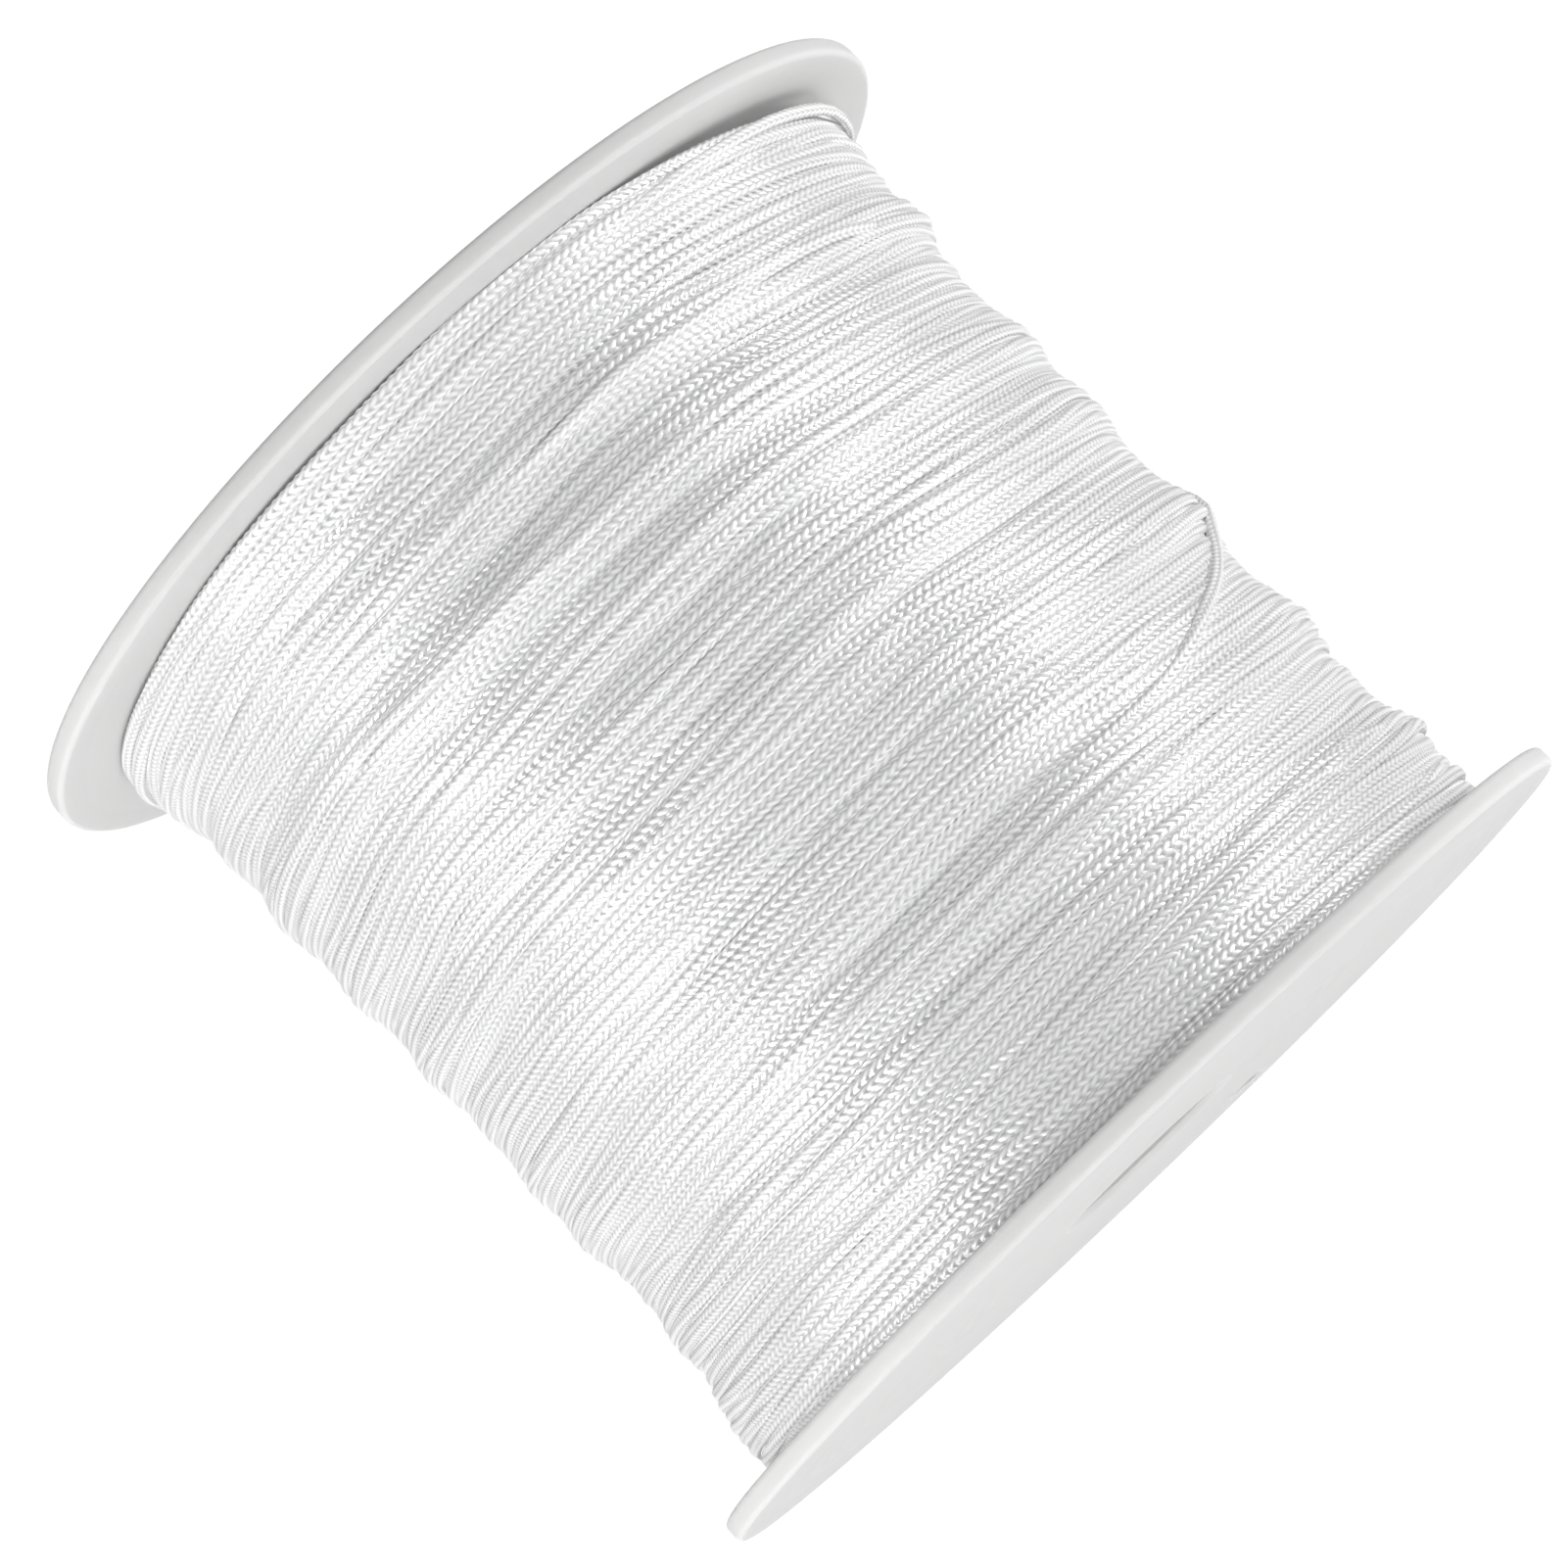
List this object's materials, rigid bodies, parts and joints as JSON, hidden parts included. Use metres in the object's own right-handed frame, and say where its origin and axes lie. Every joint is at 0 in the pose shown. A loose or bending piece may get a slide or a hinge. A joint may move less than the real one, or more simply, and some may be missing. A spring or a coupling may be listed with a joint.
{
  "type": "string reel",
  "caption": "White plastic spool with two thin round flanges and a spindle bore, full of thin white braided cord.",
  "frame": {"origin": "middle of the lower flange's outer face, on the reel's axis, where the reel stands", "axes": "+Z along the reel's axis, from the lower flange to the upper flange; -Y is the side that faces the viewer, and the start slots of both flanges are at the back, 17.4 degrees from +Y towards -X"},
  "size_m": [0.072, 0.072, 0.0654],
  "materials": {
    "spool_plastic": "satin",
    "cord": "satin"
  },
  "bodies": {
    "root": {"lower_flange": "spool_plastic", "upper_flange": "spool_plastic", "barrel": "spool_plastic", "cord_pack": "cord", "cord_outer_layer": "cord", "crossing_strand": "cord"}
  },
  "joints": []
}
